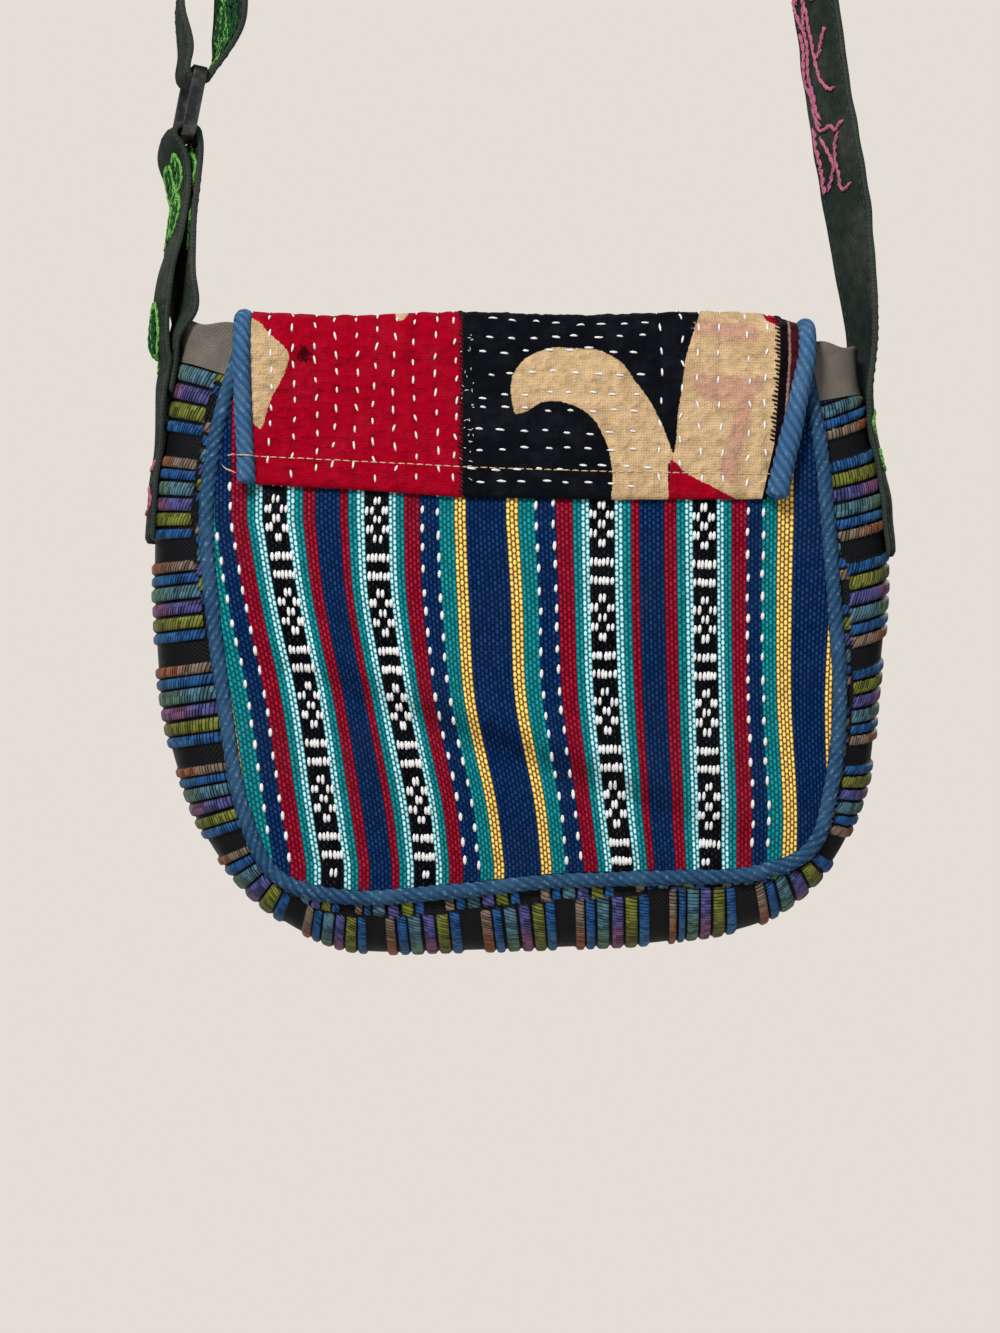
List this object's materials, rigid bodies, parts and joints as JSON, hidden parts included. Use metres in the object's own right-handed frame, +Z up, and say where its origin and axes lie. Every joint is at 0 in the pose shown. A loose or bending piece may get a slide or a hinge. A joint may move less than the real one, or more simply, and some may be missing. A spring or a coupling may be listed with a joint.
{
  "type": "crossbody bag",
  "caption": "Soft patchwork crossbody bag hung by its strap, with striped woven panels, a quilted fold-over flap, ribbed gusset, corded piping, cloth strap and metal ring.",
  "frame": {"origin": "the underside of the strap's top, where it rests on a hook", "axes": "+Z up, +X to the right of the shown back of the bag, the shown back faces -Y"},
  "size_m": [0.2596, 0.0503, 0.7822],
  "materials": {
    "striped_weave": "woven cotton with navy, teal, red, yellow and patterned stripes",
    "ribbed_weave": "raised thread ribs in mixed colours",
    "hem_cloth": "plain grey cotton",
    "piping_twill": "blue ribbed twill over cord",
    "quilt_red": "red cotton with pale running stitches",
    "quilt_print": "black and cream printed cotton with running stitches",
    "quilt_dark": "dark red and black cotton",
    "strap_cloth": "dark green-grey cotton with embroidery",
    "dark_metal": "dark plated metal, worn bright at the edges"
  },
  "bodies": {
    "root": {"back_panel": "striped_weave", "front_panel": "striped_weave", "gusset": "ribbed_weave", "gusset_hem_left": "hem_cloth", "gusset_hem_right": "hem_cloth", "back_piping": "piping_twill", "front_piping": "piping_twill", "flap_red_patch": "quilt_red", "flap_print_patch": "quilt_print", "flap_dark_strip": "quilt_dark", "flap_piping": "piping_twill", "strap": "strap_cloth", "strap_tab": "strap_cloth", "strap_ring": "dark_metal", "strap_slider": "dark_metal"}
  },
  "joints": []
}
